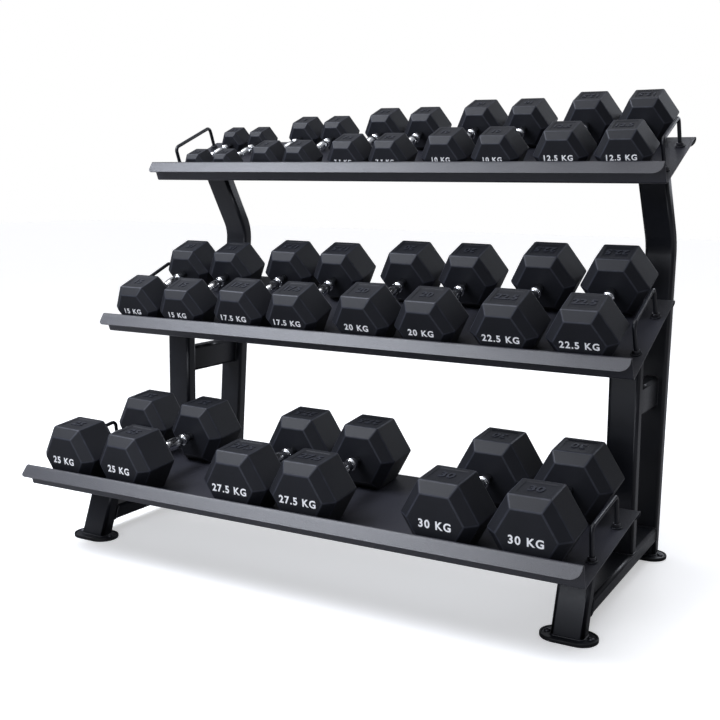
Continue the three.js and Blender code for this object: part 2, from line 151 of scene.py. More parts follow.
# ---- materials ----
class Nodes:
    """A material's node tree, with short ways to add and join nodes."""

    def __init__(self, name, color, roughness, metallic=0.0, gloss=0.5):
        self.material = bpy.data.materials.new(name)
        self.material.use_nodes = True
        self.tree = self.material.node_tree
        self.shader = self.tree.nodes["Principled BSDF"]
        self.shader.inputs["Base Color"].default_value = (*color, 1)
        self.shader.inputs["Roughness"].default_value = roughness
        self.shader.inputs["Metallic"].default_value = metallic
        self.shader.inputs["Specular IOR Level"].default_value = gloss
        self.place = self.add("ShaderNodeTexCoord").outputs["Object"]

    def add(self, kind, **settings):
        node = self.tree.nodes.new(kind)
        for key, value in settings.items():
            setattr(node, key, value)
        return node

    def link(self, output, target):
        self.tree.links.new(output, target)

    def noise(self, scale, detail=3.0, roughness=0.55, stretch=None):
        node = self.add("ShaderNodeTexNoise")
        node.inputs["Scale"].default_value = scale
        node.inputs["Detail"].default_value = detail
        node.inputs["Roughness"].default_value = roughness
        place = self.place
        if stretch:
            mapping = self.add("ShaderNodeMapping")
            mapping.inputs["Scale"].default_value = stretch
            self.link(place, mapping.inputs["Vector"])
            place = mapping.outputs["Vector"]
        self.link(place, node.inputs["Vector"])
        return node.outputs["Fac"]

    def cells(self, scale):
        node = self.add("ShaderNodeTexVoronoi")
        node.inputs["Scale"].default_value = scale
        self.link(self.place, node.inputs["Vector"])
        return node.outputs["Distance"]

    def ramp(self, source, stops):
        node = self.add("ShaderNodeValToRGB")
        elements = node.color_ramp.elements
        for element, (position, color) in zip(elements, stops):
            element.position = position
            element.color = (*color, 1)
        self.link(source, node.inputs["Fac"])
        return node.outputs["Color"]

    def span(self, source, low, high):
        node = self.add("ShaderNodeMapRange")
        node.inputs["From Min"].default_value = 0.25
        node.inputs["From Max"].default_value = 0.75
        node.inputs["To Min"].default_value = low
        node.inputs["To Max"].default_value = high
        self.link(source, node.inputs["Value"])
        return node.outputs["Result"]

    def maths(self, operation, first, second):
        node = self.add("ShaderNodeMath", operation=operation)
        for socket, value in zip(node.inputs, (first, second)):
            if isinstance(value, (int, float)):
                socket.default_value = value
            else:
                self.link(value, socket)
        return node.outputs["Value"]

    def blend(self, factor, first, second):
        node = self.add("ShaderNodeMix", data_type="RGBA")
        self.link(factor, node.inputs["Factor"])
        for socket, value in ((node.inputs[6], first), (node.inputs[7], second)):
            if isinstance(value, tuple):
                socket.default_value = (*value, 1)
            else:
                self.link(value, socket)
        return node.outputs[2]

    def attribute(self, name):
        return self.add("ShaderNodeAttribute", attribute_name=name).outputs["Fac"]

    def color(self, output):
        self.link(output, self.shader.inputs["Base Color"])

    def roughness(self, output):
        self.link(output, self.shader.inputs["Roughness"])

    def bump(self, *layers):
        """Layers of (height output, strength, depth in metres), one on another."""
        normal = None
        for height, strength, depth in layers:
            node = self.add("ShaderNodeBump")
            node.inputs["Strength"].default_value = strength
            node.inputs["Distance"].default_value = depth
            self.link(height, node.inputs["Height"])
            if normal:
                self.link(normal, node.inputs["Normal"])
            normal = node.outputs["Normal"]
        self.link(normal, self.shader.inputs["Normal"])


def smooth_powder_coat():
    """Satin black with a faint orange peel."""
    nodes = Nodes("powder_coat", (0.008, 0.009, 0.012), 0.36, gloss=0.4)
    cloud = nodes.noise(9, 2)
    nodes.color(nodes.ramp(cloud, [(0.35, (0.006, 0.0065, 0.009)), (0.65, (0.009, 0.010, 0.014))]))
    nodes.roughness(nodes.span(nodes.noise(160, 4), 0.31, 0.44))
    nodes.bump((nodes.noise(420, 2), 0.18, 0.2 * MM), (nodes.noise(1900, 1), 0.12, 0.05 * MM))
    return nodes.material


def textured_powder_coat():
    """Matt black-grey with a fine sandy texture and lighter specks on its grains."""
    nodes = Nodes("textured_coat", (0.03, 0.031, 0.04), 0.5, gloss=0.6)
    grain = nodes.noise(620, 3, 0.6)
    cloud = nodes.noise(6, 3)
    dark = nodes.ramp(cloud, [(0.3, (0.006, 0.006, 0.009)), (0.7, (0.009, 0.009, 0.013))])
    nodes.color(nodes.blend(nodes.span(grain, 0, 0.75), dark, (0.03, 0.031, 0.042)))
    nodes.roughness(nodes.span(grain, 0.52, 0.36))
    nodes.bump((nodes.cells(560), 0.55, 0.3 * MM), (grain, 0.6, 0.25 * MM))
    return nodes.material


def moulded_rubber(name, color, wear_and_highlight, grain_size):
    """Black rubber: a fine grain, soft mottling, and lighter marked edges, wear and a painted highlight."""
    nodes = Nodes(name, color, 0.55, gloss=0.3)
    cloud = nodes.noise(14, 4)
    grain = nodes.noise(grain_size, 4, 0.6)
    lighter = tuple(1.35 * channel for channel in color)
    base = nodes.ramp(cloud, [(0.35, color), (0.7, lighter)])
    edge = nodes.maths("MULTIPLY", nodes.attribute("edge"), nodes.span(nodes.noise(60, 4), 0.25, 0.8))
    # the marked edges' lighter colour is partly wear and partly a painted highlight
    nodes.color(nodes.blend(edge, base, wear_and_highlight))
    rough = nodes.span(grain, 0.5, 0.66)
    nodes.roughness(nodes.maths("SUBTRACT", rough, nodes.maths("MULTIPLY", edge, 0.14)))
    nodes.bump((grain, 0.25, 0.25 * MM), (nodes.noise(90, 2), 0.12, 0.5 * MM))
    return nodes.material


def bright_chrome():
    """Polished chrome with the faint smears and turning marks that handling leaves."""
    nodes = Nodes("chrome", (0.78, 0.79, 0.81), 0.1, 1.0)
    smear = nodes.noise(45, 4)
    turned = nodes.noise(30, 2, stretch=(1, 60, 1))
    nodes.color(nodes.ramp(smear, [(0.3, (0.72, 0.73, 0.75)), (0.7, (0.84, 0.85, 0.87))]))
    nodes.roughness(nodes.span(smear, 0.07, 0.2))
    nodes.bump((turned, 0.08, 0.05 * MM))
    return nodes.material


def pad_print():
    """Matt white ink, thin enough for the rubber's grain to show."""
    nodes = Nodes("white_print", (0.82, 0.82, 0.83), 0.55)
    ink = nodes.noise(500, 3)
    nodes.color(nodes.ramp(ink, [(0.25, (0.78, 0.78, 0.79)), (0.6, (0.92, 0.92, 0.92))]))
    nodes.roughness(nodes.span(ink, 0.5, 0.7))
    nodes.bump((nodes.noise(700, 3), 0.2, 0.1 * MM))
    return nodes.material


def black_zinc():
    """Dark plated steel, a little brighter on the cloudy patches of its plating."""
    nodes = Nodes("black_zinc", (0.05, 0.05, 0.055), 0.34, 0.85)
    cloud = nodes.noise(110, 4)
    nodes.color(nodes.ramp(cloud, [(0.3, (0.035, 0.035, 0.04)), (0.7, (0.09, 0.09, 0.1))]))
    nodes.roughness(nodes.span(cloud, 0.26, 0.46))
    nodes.bump((nodes.noise(900, 2), 0.15, 0.05 * MM))
    return nodes.material


FLOOR_GLOW = 0.42  # lightens the shadow that the camera sees
FLOOR_BOUNCE = (0.3, 0.3, 0.31)  # colour that the object is lit by


def studio_floor():
    """A pale floor with a soft shadow, which throws only a little light back up at the object."""
    nodes = Nodes("studio_floor", (0.87, 0.87, 0.87), 0.7)
    pale = nodes.ramp(nodes.noise(3, 2), [(0.3, (0.865, 0.865, 0.865)), (0.7, (0.88, 0.88, 0.88))])
    seen = nodes.add("ShaderNodeLightPath").outputs["Is Camera Ray"]
    nodes.color(nodes.blend(seen, FLOOR_BOUNCE, pale))
    nodes.shader.inputs["Emission Color"].default_value = (1, 1, 1, 1)
    nodes.link(nodes.maths("MULTIPLY", seen, FLOOR_GLOW), nodes.shader.inputs["Emission Strength"])
    return nodes.material


MATERIALS = {
    "powder_coat": smooth_powder_coat(),
    "textured_coat": textured_powder_coat(),
    "rubber_shoe": moulded_rubber("rubber_shoe", (0.005, 0.005, 0.006), (0.014, 0.014, 0.016), 800),
    "rubber_head": moulded_rubber("rubber_head", (0.005, 0.0056, 0.0085), (0.034, 0.037, 0.05), 620),
    "chrome": bright_chrome(),
    "white_print": pad_print(),
    "black_zinc": black_zinc(),
}


# ---- mesh helpers ----
def new_mesh(name, build):
    """A smooth-shaded mesh from a function that fills a bmesh."""
    bm = bmesh.new()
    build(bm)
    bmesh.ops.recalc_face_normals(bm, faces=bm.faces)
    mesh = bpy.data.meshes.new(name)
    bm.to_mesh(mesh)
    bm.free()
    mesh.shade_smooth()
    return mesh


def add_piece(name, mesh, body, slot, matrix=Matrix(), replaces=(), bevel=0.0, sharp=40):
    """Places a mesh, gives it its material and rides it on its body."""
    if not mesh.materials:
        mesh.materials.append(MATERIALS[slot])
    piece = bpy.data.objects.new(name, mesh)
    bpy.context.scene.collection.objects.link(piece)
    piece.matrix_world = matrix
    if bevel:
        rounding = piece.modifiers.new("rounding", "BEVEL")
        rounding.width = bevel
        rounding.segments = 3
        rounding.limit_method = "ANGLE"
        rounding.angle_limit = math.radians(sharp)
    piece.modifiers.new("flats", "WEIGHTED_NORMAL").keep_sharp = True
    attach(piece, body)
    if replaces:
        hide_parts(*replaces)
    return piece


def skin(bm, rings, closed=False, caps=True):
    """Joins rings of points, each ring with as many points, into one skin."""
    rows = [[bm.verts.new(point) for point in ring] for ring in rings]
    count = len(rows[0])
    following = rows[1:] + rows[:1] if closed else rows[1:]
    for here, there in zip(rows, following):
        for i in range(count):
            j = (i + 1) % count
            bm.faces.new((here[i], here[j], there[j], there[i]))
    if caps and not closed:
        bm.faces.new(rows[0])
        bm.faces.new(rows[-1])
    return rows


def rounded_rectangle(width, height, corner, steps=6):
    points = []
    for quarter, (sx, sy) in enumerate([(1, 1), (-1, 1), (-1, -1), (1, -1)]):
        for step in range(steps + 1):
            angle = math.pi / 2 * (quarter + step / steps)
            points.append((
                sx * (width / 2 - corner) + corner * math.cos(angle),
                sy * (height / 2 - corner) + corner * math.sin(angle),
            ))
    return points


def circle(radius, sides):
    return [(radius * math.cos(2 * math.pi * i / sides), radius * math.sin(2 * math.pi * i / sides))
            for i in range(sides)]


def cut(bm, point, normal):
    """Takes off all that lies on the side of a plane that its normal points to, and closes the cut."""
    geometry = bm.verts[:] + bm.edges[:] + bm.faces[:]
    made = bmesh.ops.bisect_plane(bm, geom=geometry, plane_co=point, plane_no=normal, clear_outer=True)
    edges = [item for item in made["geom_cut"] if isinstance(item, bmesh.types.BMEdge)]
    bmesh.ops.holes_fill(bm, edges=edges)


class BentLine:
    """Centre line of a bent bar in a plane of constant X: stations of (point, direction)."""

    def __init__(self, y, z, heading):
        self.heading = heading
        self.stations = [(Vector((0, y, z)), self.direction())]

    def direction(self):
        return Vector((0, math.sin(self.heading), math.cos(self.heading)))

    def straight(self, length):
        point = self.stations[-1][0]
        self.stations.append((point + self.direction() * length, self.direction()))
        return self

    def bend(self, angle, radius, steps=10):
        chord = 2 * radius * math.sin(abs(angle) / steps / 2)
        for _ in range(steps):
            point = self.stations[-1][0]
            self.heading += angle / steps / 2
            point = point + self.direction() * chord
            self.heading += angle / steps / 2
            self.stations.append((point, self.direction()))
        return self

    def sweep(self, bm, section):
        across = Vector((1, 0, 0))
        rings = []
        for point, way in self.stations:
            depth = way.cross(across)
            rings.append([point + across * x + depth * y for x, y in section])
        return skin(bm, rings)


# ---- shelf trays ----
FOLD_STEPS = 8
CORNER_STEPS = 10


def tray_path(shelf):
    """Middle line of a tray's sheet, from the rear flange's free edge to the front one's.

    Each station is (point, normal, distance from the rear free edge, distance from the front one),
    with the point and the normal in the (depth, height) plane.
    """
    depth = shelf["depth"] * MM
    lip_turn = math.radians(90 - shelf["lip_lean"])
    lip_fold = FOLD_RADIUS * math.tan(lip_turn / 2)
    flange_fold = FOLD_RADIUS * math.tan(FLANGE_TURN / 2)
    spot = Vector((depth - SHEET / 2, -REAR_FLANGE))
    heading = math.pi / 2
    stations = []
    far = 2 * FLANGE_CORNER

    def mark(rear=far, front=far):
        stations.append((spot.copy(), Vector((-math.sin(heading), math.cos(heading))), rear, front))

    def ahead(length):
        spot.xy = spot + Vector((math.cos(heading), math.sin(heading))) * length

    def fold(turn):
        nonlocal heading
        chord = 2 * FOLD_RADIUS * math.sin(abs(turn) / FOLD_STEPS / 2)
        for _ in range(FOLD_STEPS):
            heading -= turn / FOLD_STEPS / 2
            spot.xy = spot + Vector((math.cos(heading), math.sin(heading))) * chord
            heading -= turn / FOLD_STEPS / 2
            mark()

    def arc(radius):
        return [radius * (1 - math.cos(math.pi / 2 * i / CORNER_STEPS)) for i in range(CORNER_STEPS + 1)]

    rear_straight = REAR_FLANGE + SHEET / 2 - FOLD_RADIUS
    travelled = 0
    for edge in (d for d in arc(FLANGE_CORNER) if d < rear_straight):
        ahead(edge - travelled)
        travelled = edge
        mark(rear=edge)
    ahead(rear_straight - travelled)
    mark(rear=rear_straight)
    fold(-math.pi / 2)
    ahead(depth - SHEET - FOLD_RADIUS - lip_fold)
    mark()
    fold(lip_turn)
    ahead(LIP - SHEET / 2 - lip_fold - flange_fold)
    mark()
    fold(-FLANGE_TURN)
    left = FLANGE - flange_fold
    for edge in sorted({*arc(FLANGE_CORNER), *arc(LEFT_CORNER)[:-1]}, reverse=True):
        ahead(left - edge)
        left = edge
        mark(front=edge)
    return stations


def rounded_off(radius, edge):
    """How much a rounded corner takes off a flange's end, at a distance from the free edge."""
    return radius - math.sqrt(radius**2 - max(0, radius - edge) ** 2)


def build_tray(shelf):
    def build(bm):
        rows = []
        for point, normal, rear, front in tray_path(shelf):
            common = rounded_off(FLANGE_CORNER, rear)
            low = -LENGTH / 2 + common + rounded_off(LEFT_CORNER, front)
            high = LENGTH / 2 - common - rounded_off(FLANGE_CORNER, front)
            outer, inner = point + normal * SHEET / 2, point - normal * SHEET / 2
            rows.append([(low, *outer), (high, *outer), (high, *inner), (low, *inner)])
        skin(bm, rows)

    return build


# ---- end guards ----
def build_guard(start, length, height):
    """The bent rod, with the threaded ends that go through the deck."""
    through = NUT_HEIGHT + 3 * MM
    leg = height + SHEET - GUARD_BEND + through

    def build(bm):
        line = BentLine(start, -through, 0)
        line.straight(leg).bend(math.pi / 2, GUARD_BEND, 12).straight(length - 2 * GUARD_BEND)
        line.bend(math.pi / 2, GUARD_BEND, 12).straight(leg)
        line.sweep(bm, circle(ROD / 2, 20))

    return build


def build_washer(bm):
    outer, hole, thick, edge = WASHER / 2, ROD / 2 + 0.3 * MM, WASHER_THICK, 0.6 * MM
    outline = [(hole, 0), (outer - edge, 0), (outer, edge), (outer, thick - edge), (outer - edge, thick),
               (hole, thick)]
    skin(bm, [[(x, y, z) for x, y in circle(radius, 32)] for radius, z in outline], closed=True)


def build_nut(bm):
    """Hexagon nut with its top and bottom corners turned off, standing on z = 0."""
    corner = NUT_FLATS / math.sqrt(3)
    sides = 48
    turned = NUT_FLATS / 2 * 0.97

    def ring(z, limit):
        points = []
        for i in range(sides):
            angle = 2 * math.pi * i / sides
            flat = NUT_FLATS / 2 / math.cos((angle + math.pi / 6) % (math.pi / 3) - math.pi / 6)
            radius = min(flat, limit)
            points.append((radius * math.cos(angle), radius * math.sin(angle), z))
        return points

    slope = (corner - turned) * 0.6
    between = (turned + corner) / 2
    steps = [(0, turned), (slope / 2, between), (slope, corner), (NUT_HEIGHT - slope, corner),
             (NUT_HEIGHT - slope / 2, between), (NUT_HEIGHT, turned)]
    hole = [(x, y, NUT_HEIGHT) for x, y in circle(ROD / 2, sides)]
    bottom = [(x, y, 0) for x, y in circle(ROD / 2, sides)]
    skin(bm, [bottom, *[ring(z, limit) for z, limit in steps], hole], closed=True)


def build_screw_head(bm):
    """Low round head with a hexagon socket, standing on z = 0."""
    radius, height, socket, sides = 7.5 * MM, 4 * MM, 2.9 * MM, 36
    dome = [(radius, 0), (radius, height * 0.25), (radius * 0.93, height * 0.6),
            (radius * 0.75, height * 0.88), (radius * 0.58, height)]
    rings = [[(x, y, z) for x, y in circle(r, sides)] for r, z in dome]
    hexagon = []
    for i in range(sides):
        angle = 2 * math.pi * i / sides
        reach = socket / math.cos((angle + math.pi / 6) % (math.pi / 3) - math.pi / 6)
        hexagon.append((reach * math.cos(angle), reach * math.sin(angle)))
    rings.append([(x, y, height) for x, y in hexagon])
    rings.append([(x, y, height * 0.35) for x, y in hexagon])
    skin(bm, rings)


MESHES = {}


def shared(name, build):
    """One mesh for all the pieces of a name."""
    if name not in MESHES:
        MESHES[name] = new_mesh(name, build)
    return MESHES[name]


def shelf_matrix(shelf):
    origin = Matrix.Translation((0, shelf["y"] * MM + ROW_Y, shelf["z"] * MM))
    return origin @ Matrix.Rotation(math.radians(shelf["slope"]), 4, "X")


def add_guard(name, side, shelf, matrix):
    """A guard rod with a washer and nut on the deck and a nut below, at each of its feet."""
    guard = f"{side}_{name}_guard"
    own = dict(x=GUARD_X / MM, height=GUARD_HEIGHT / MM, length=shelf["guard_length"])
    own.update(shelf.get(f"{side}_guard", {}))
    place = matrix @ Matrix.Translation((SIDES[side] * own["x"] * MM, 0, 0))
    start = shelf["guard_from"] * MM
    rod = new_mesh(f"{guard}_bar", build_guard(start, own["length"] * MM, own["height"] * MM))
    add_piece(f"{guard}_bar", rod, "rack", "powder_coat", place, [f"{guard}_rod"], bevel=0.8 * MM, sharp=60)
    deck = SHEET + GAP
    for foot, along in (("front", 0), ("rear", own["length"] * MM)):
        spot = place @ Matrix.Translation((0, start + along, 0))
        above = spot @ Matrix.Translation((0, 0, deck))
        add_piece(f"{guard}_{foot}_washer", shared("washer", build_washer), "rack", "powder_coat", above)
        above = above @ Matrix.Translation((0, 0, WASHER_THICK))
        add_piece(f"{guard}_{foot}_nut", shared("nut", build_nut), "rack", "black_zinc", above)
        below = spot @ Matrix.Translation((0, 0, -NUT_HEIGHT))
        add_piece(f"{guard}_{foot}_under_nut", shared("nut", build_nut), "rack", "black_zinc", below)


def build_saddle(bm):
    section = rounded_rectangle(SADDLE_WIDTH, SADDLE_LENGTH, SADDLE_CORNER)
    skin(bm, [[(x, y, z) for x, y in section] for z in (0, SADDLE_THICK)])


def add_saddle(name, side, shelf, matrix):
    plate = f"{side}_{name}_saddle_plate"
    centre = (SIDES[side] * FRAME_X, shelf["saddle"] * MM, -SADDLE_THICK - GAP)
    place = matrix @ Matrix.Translation(centre)
    mesh = shared("saddle", build_saddle)
    add_piece(f"{plate}_welded", mesh, "rack", "powder_coat", place, [plate], bevel=1 * MM, sharp=60)
    turned = Matrix.Rotation(math.pi, 4, "X")
    for i, (sx, sy) in enumerate([(-1, -1), (1, -1), (-1, 1), (1, 1)], 1):
        corner = Matrix.Translation((sx * SADDLE_SCREW_X, sy * SADDLE_SCREW_Y, 0))
        head = shared("screw_head", build_screw_head)
        add_piece(f"{plate}_screw_{i}", head, "rack", "black_zinc", place @ corner @ turned)


def add_shelf(name, shelf):
    matrix = shelf_matrix(shelf)
    tray = new_mesh(f"{name}_tray", build_tray(shelf))
    add_piece(f"{name}_tray_sheet", tray, "rack", "textured_coat", matrix, [f"{name}_shelf_tray"],
              bevel=0.7 * MM, sharp=50)
    for side in SIDES:
        add_guard(name, side, shelf, matrix)
        add_saddle(name, side, shelf, matrix)


# ---- side frames ----
def on_plane(point, way, plane):
    """Where a line through a point meets a plane given by a point and a normal."""
    spot, normal = plane
    return point + way * ((spot - point).dot(normal) / way.dot(normal))


def build_weld(section, start, way, plane):
    """A rippled bead round a tube where it meets a plane."""
    across = Vector((1, 0, 0))
    depth = way.cross(across)
    corners = [on_plane(start + across * x + depth * y, way, plane) for x, y in section]
    spacing, radius, sides = 2.2 * MM, 2.4 * MM, 8
    path = []
    for here, there in zip(corners, corners[1:] + corners[:1]):
        count = max(1, round((there - here).length / spacing))
        path += [here.lerp(there, i / count) for i in range(count)]
    normal = plane[1].normalized()

    def build(bm):
        rings = []
        for i, point in enumerate(path):
            along = (path[(i + 1) % len(path)] - path[i - 1]).normalized()
            out = along.cross(normal).normalized()
            swell = radius * (1 + 0.16 * math.cos(i * math.tau / 3))
            rings.append([point + (out * x + normal * y) * swell for x, y in circle(1, sides)])
        skin(bm, rings, closed=True)

    return build


class SideFrame:
    """One side's tubes and welds, in Y and Z values of the CAD part before its shift."""

    def __init__(self, side):
        self.side = side
        self.place = Matrix.Translation((SIDES[side] * FRAME_X, ROW_Y, 0))
        self.tube = rounded_rectangle(TUBE_WIDE, TUBE_NARROW, TUBE_CORNER)
        self.deep_tube = rounded_rectangle(TUBE_NARROW, TUBE_WIDE, TUBE_CORNER)

    def add(self, name, build, slot="powder_coat", **settings):
        name = f"{self.side}_{name}"
        return add_piece(name, new_mesh(name, build), "rack", slot, self.place, **settings)

    def add_tube(self, name, line, planes, section=None, welds=()):
        section = section or self.tube

        def build(bm):
            line.sweep(bm, section)
            for point, normal in planes:
                cut(bm, point, normal)

        self.add(f"{name}_tube", build, replaces=[f"{self.side}_{name}"])
        for i, (start, way, plane) in enumerate(welds, 1):
            self.add(f"{name}_weld_{i}", build_weld(section, start, way, plane))


def at(y, z):
    return Vector((0, y, z))


def saddle_plane(name):
    shelf = SHELVES[name]
    tilt = math.radians(shelf["slope"])
    normal = at(-math.sin(tilt), math.cos(tilt))
    return at(shelf["y"] * MM, shelf["z"] * MM) - normal * (SADDLE_THICK + 2 * GAP), normal


def add_tubes(frame_side):
    half = TUBE_NARROW / 2
    overrun = 0.4
    up = at(0, 1)
    foot_top = FOOT_FLOOR + FOOT_PLATE + 2 * GAP

    leg_way = at(math.sin(LEG_LEAN), math.cos(LEG_LEAN))
    leg_foot = at(LEG_FOOT_Y, foot_top)
    start = leg_foot - leg_way * half
    leg = BentLine(start.y, start.z, LEG_LEAN).straight(overrun)
    bottom = saddle_plane("bottom")
    frame_side.add_tube("front_leg", leg, [(leg_foot, -up), bottom], welds=[
        (leg_foot, leg_way, (leg_foot, up)), (leg_foot, leg_way, bottom)])

    lean_way = at(math.sin(UPRIGHT_LEAN), math.cos(UPRIGHT_LEAN))
    upright_foot = at(UPRIGHT_FOOT_Y, foot_top)
    start = upright_foot - lean_way * half
    upright = BentLine(start.y, start.z, UPRIGHT_LEAN).straight(UPRIGHT_STRAIGHT + half)
    upright.bend(-UPRIGHT_BEND, UPRIGHT_RADIUS, 14).straight(overrun)
    top = saddle_plane("top")
    bend_end, top_way = upright.stations[-1]
    frame_side.add_tube("rear_upright", upright, [(upright_foot, -up), top], welds=[
        (upright_foot, lean_way, (upright_foot, up)), (bend_end, top_way, top)])

    leg_back = at(math.cos(LEG_LEAN), -math.sin(LEG_LEAN))
    leg_face = (leg_foot + leg_back * (half + GAP), -leg_back)
    upright_front = at(-math.cos(UPRIGHT_LEAN), math.sin(UPRIGHT_LEAN))
    upright_face = (upright_foot + upright_front * (half + GAP), -upright_front)
    back = at(1, 0)

    rail_z = RAIL_BOTTOM + half
    rail = BentLine(FRONT_FOOT_Y, rail_z, math.pi / 2).straight(REAR_FOOT_Y + half - FRONT_FOOT_Y)
    middle_of_rail = at(POST_Y, rail_z)
    frame_side.add_tube("base_rail", rail, [leg_face, upright_face], welds=[
        (middle_of_rail, back, leg_face), (middle_of_rail, back, upright_face)])

    middle = saddle_plane("middle")
    post_foot = at(POST_Y, RAIL_BOTTOM + TUBE_NARROW + GAP)
    post = BentLine(post_foot.y, post_foot.z, 0).straight(middle[0].z + overrun)
    frame_side.add_tube("front_post", post, [middle], welds=[
        (post_foot, up, (post_foot, up)), (post_foot, up, middle)])

    cross_start = at(POST_Y + half + GAP, CROSS_Z)
    cross = BentLine(cross_start.y, cross_start.z, math.pi / 2).straight(overrun)
    frame_side.add_tube("crossmember", cross, [upright_face], section=frame_side.deep_tube, welds=[
        (cross_start, back, (cross_start, back)), (cross_start, back, upright_face)])


def obround(length, width, inset):
    return rounded_rectangle(length - 2 * inset, width - 2 * inset, width / 2 - inset, 14)


def build_shoe(bm):
    """Shallow rubber tray with a rounded rim, its wall drawn in a little towards the floor."""
    # (inset from the outside, height) in millimetres, up the wall, over the rim and down inside it
    outline = [(1.2, 0), (0.3, 0.8), (0, 2), (0, 7), (0.5, 8.4), (1.8, 9), (3.2, 9), (4.5, 8.4),
               (5, 7.2), (5, 3)]
    edge = bm.verts.layers.float.new("edge")
    rings = []
    for inset, z in outline:
        rings.append([(x, y, z * MM) for x, y in obround(FOOT_LENGTH, FOOT_WIDTH, inset * MM)])
    rows = skin(bm, rings)
    # the rim's top takes the rubber's lighter edge colour, partly wear and partly a painted highlight
    for row in rows[4:8]:
        for vertex in row:
            vertex[edge] = 1


def build_foot_plate(bm):
    slack = FOOT_RIM + GAP
    outline = [(slack, 0), (slack, FOOT_PLATE - 0.8 * MM), (slack + 0.8 * MM, FOOT_PLATE)]
    skin(bm, [[(x, y, z) for x, y in obround(FOOT_LENGTH, FOOT_WIDTH, inset)] for inset, z in outline])


def add_foot(side, end, y):
    name = f"{side}_{end}_foot"
    place = Matrix.Translation((SIDES[side] * FRAME_X, y + ROW_Y, 0))
    add_piece(f"{name}_rubber", shared("shoe", build_shoe), "rack", "rubber_shoe", place, [f"{name}_shoe"])
    on_floor = place @ Matrix.Translation((0, 0, FOOT_FLOOR + GAP))
    plate = shared("foot_plate", build_foot_plate)
    add_piece(f"{name}_steel", plate, "rack", "powder_coat", on_floor, [f"{name}_plate"])
    for i, sign in enumerate((-1, 1), 1):
        spot = on_floor @ Matrix.Translation((sign * FOOT_SCREW_X, 0, FOOT_PLATE))
        add_piece(f"{name}_screw_{i}", shared("screw_head", build_screw_head), "rack", "black_zinc", spot)


# ---- dumbbells ----
def dumbbell_sizes(weight):
    scale = (weight / HEAVY) ** (1 / 3)
    sizes = dict(
        scale=scale,
        flats=HEAD_FLATS * scale,
        length=HEAD_LENGTH * scale**HEAD_LENGTH_POWER,
        chamfer=HEAD_CHAMFER * scale,
        grip=GRIP_LIGHT + GRIP_EXTRA * min(1, weight / GRIP_LONGEST_FROM) ** 2,
        thickness=scale**HANDLE_POWER,
    )
    sizes["span"] = sizes["length"] + 2 * sizes["chamfer"]
    sizes["reach"] = sizes["span"] + sizes["grip"] / 2  # from its centre to either end
    return sizes


def text_mesh(words, height, thick, bold, spacing=1.0):
    """Letters lying on z = 0, centred, their tops towards +Y."""
    curve = bpy.data.curves.new("letters", "FONT")
    curve.body = words
    curve.align_x = "CENTER"
    curve.align_y = "CENTER"
    curve.size = height / 0.7
    curve.extrude = thick / 2
    curve.offset = bold
    curve.space_character = spacing
    curve.resolution_u = 4
    letters = bpy.data.objects.new("letters", curve)
    bpy.context.scene.collection.objects.link(letters)
    view = bpy.context.evaluated_depsgraph_get()
    mesh = bpy.data.meshes.new_from_object(letters.evaluated_get(view))
    bpy.data.objects.remove(letters)
    bpy.data.curves.remove(curve)
    xs = [vertex.co.x for vertex in mesh.vertices]
    ys = [vertex.co.y for vertex in mesh.vertices]
    middle = Vector((min(xs) + max(xs), min(ys) + max(ys), 0)) / 2
    mesh.transform(Matrix.Translation(-middle))
    return mesh


PANEL_BORDER = 0.1  # sizes on a head's top flat, against the head's corner radius
NUMERAL_SIZE = 0.27
NUMERAL_RISE = 0.8  # height of the numeral against the depth of the sunk panel


def build_head(weight):
    """A hexagonal head about its own centre: chamfered ends, soft edges, and a sunk panel on top with
    the weight standing up in it."""
    sizes = dumbbell_sizes(weight)
    corner = sizes["flats"] / math.sqrt(3)
    soft = 3 * MM * sizes["scale"] ** 0.7
    border = PANEL_BORDER * corner
    sink = 2.2 * MM * sizes["scale"] ** 0.5

    def build(bm):
        edge = bm.verts.layers.float.new("edge")
        stations = [(-sizes["span"] / 2, HEAD_END), (-sizes["length"] / 2, 1), (sizes["length"] / 2, 1),
                    (sizes["span"] / 2, HEAD_END)]
        skin(bm, [[(size * x, y, size * z) for x, z in circle(corner, 6)] for y, size in stations])
        bmesh.ops.recalc_face_normals(bm, faces=bm.faces)
        made = bmesh.ops.bevel(bm, geom=bm.edges[:], offset=soft, segments=4, profile=0.5, affect="EDGES",
                               clamp_overlap=True)
        rounded = set(made["faces"])
        # rounded edges take the rubber's lighter edge colour, partly wear and partly a painted highlight
        for vertex in bm.verts:
            vertex[edge] = 1 if all(face in rounded for face in vertex.link_faces) else 0
        bm.normal_update()
        panel = max((face for face in bm.faces if face.normal.z > 0.999), key=lambda face: face.calc_area())
        bmesh.ops.inset_region(bm, faces=[panel], thickness=border, use_even_offset=True)
        bmesh.ops.inset_region(bm, faces=[panel], thickness=0.5 * MM, use_even_offset=True)
        bmesh.ops.translate(bm, verts=panel.verts, vec=(0, 0, -sink))
        for vertex in panel.verts:
            vertex[edge] = 0
        numeral = text_mesh(f"{weight:g}", NUMERAL_SIZE * corner, 2 * sink * NUMERAL_RISE, 0.01 * corner)
        numeral.transform(Matrix.Translation((0, 0, sizes["flats"] / 2 - sink)))
        bm.from_mesh(numeral)
        bpy.data.meshes.remove(numeral)
        # the numerals' tops take most of that lighter colour, partly wear and partly a painted highlight
        for vertex in bm.verts:
            if abs(vertex.co.z - (sizes["flats"] / 2 - (1 - NUMERAL_RISE) * sink)) < 1e-5:
                vertex[edge] = 0.8

    return build


KNURLS_ROUND = 26  # ridges round the grip
KNURL_DEPTH = 0.35 * MM


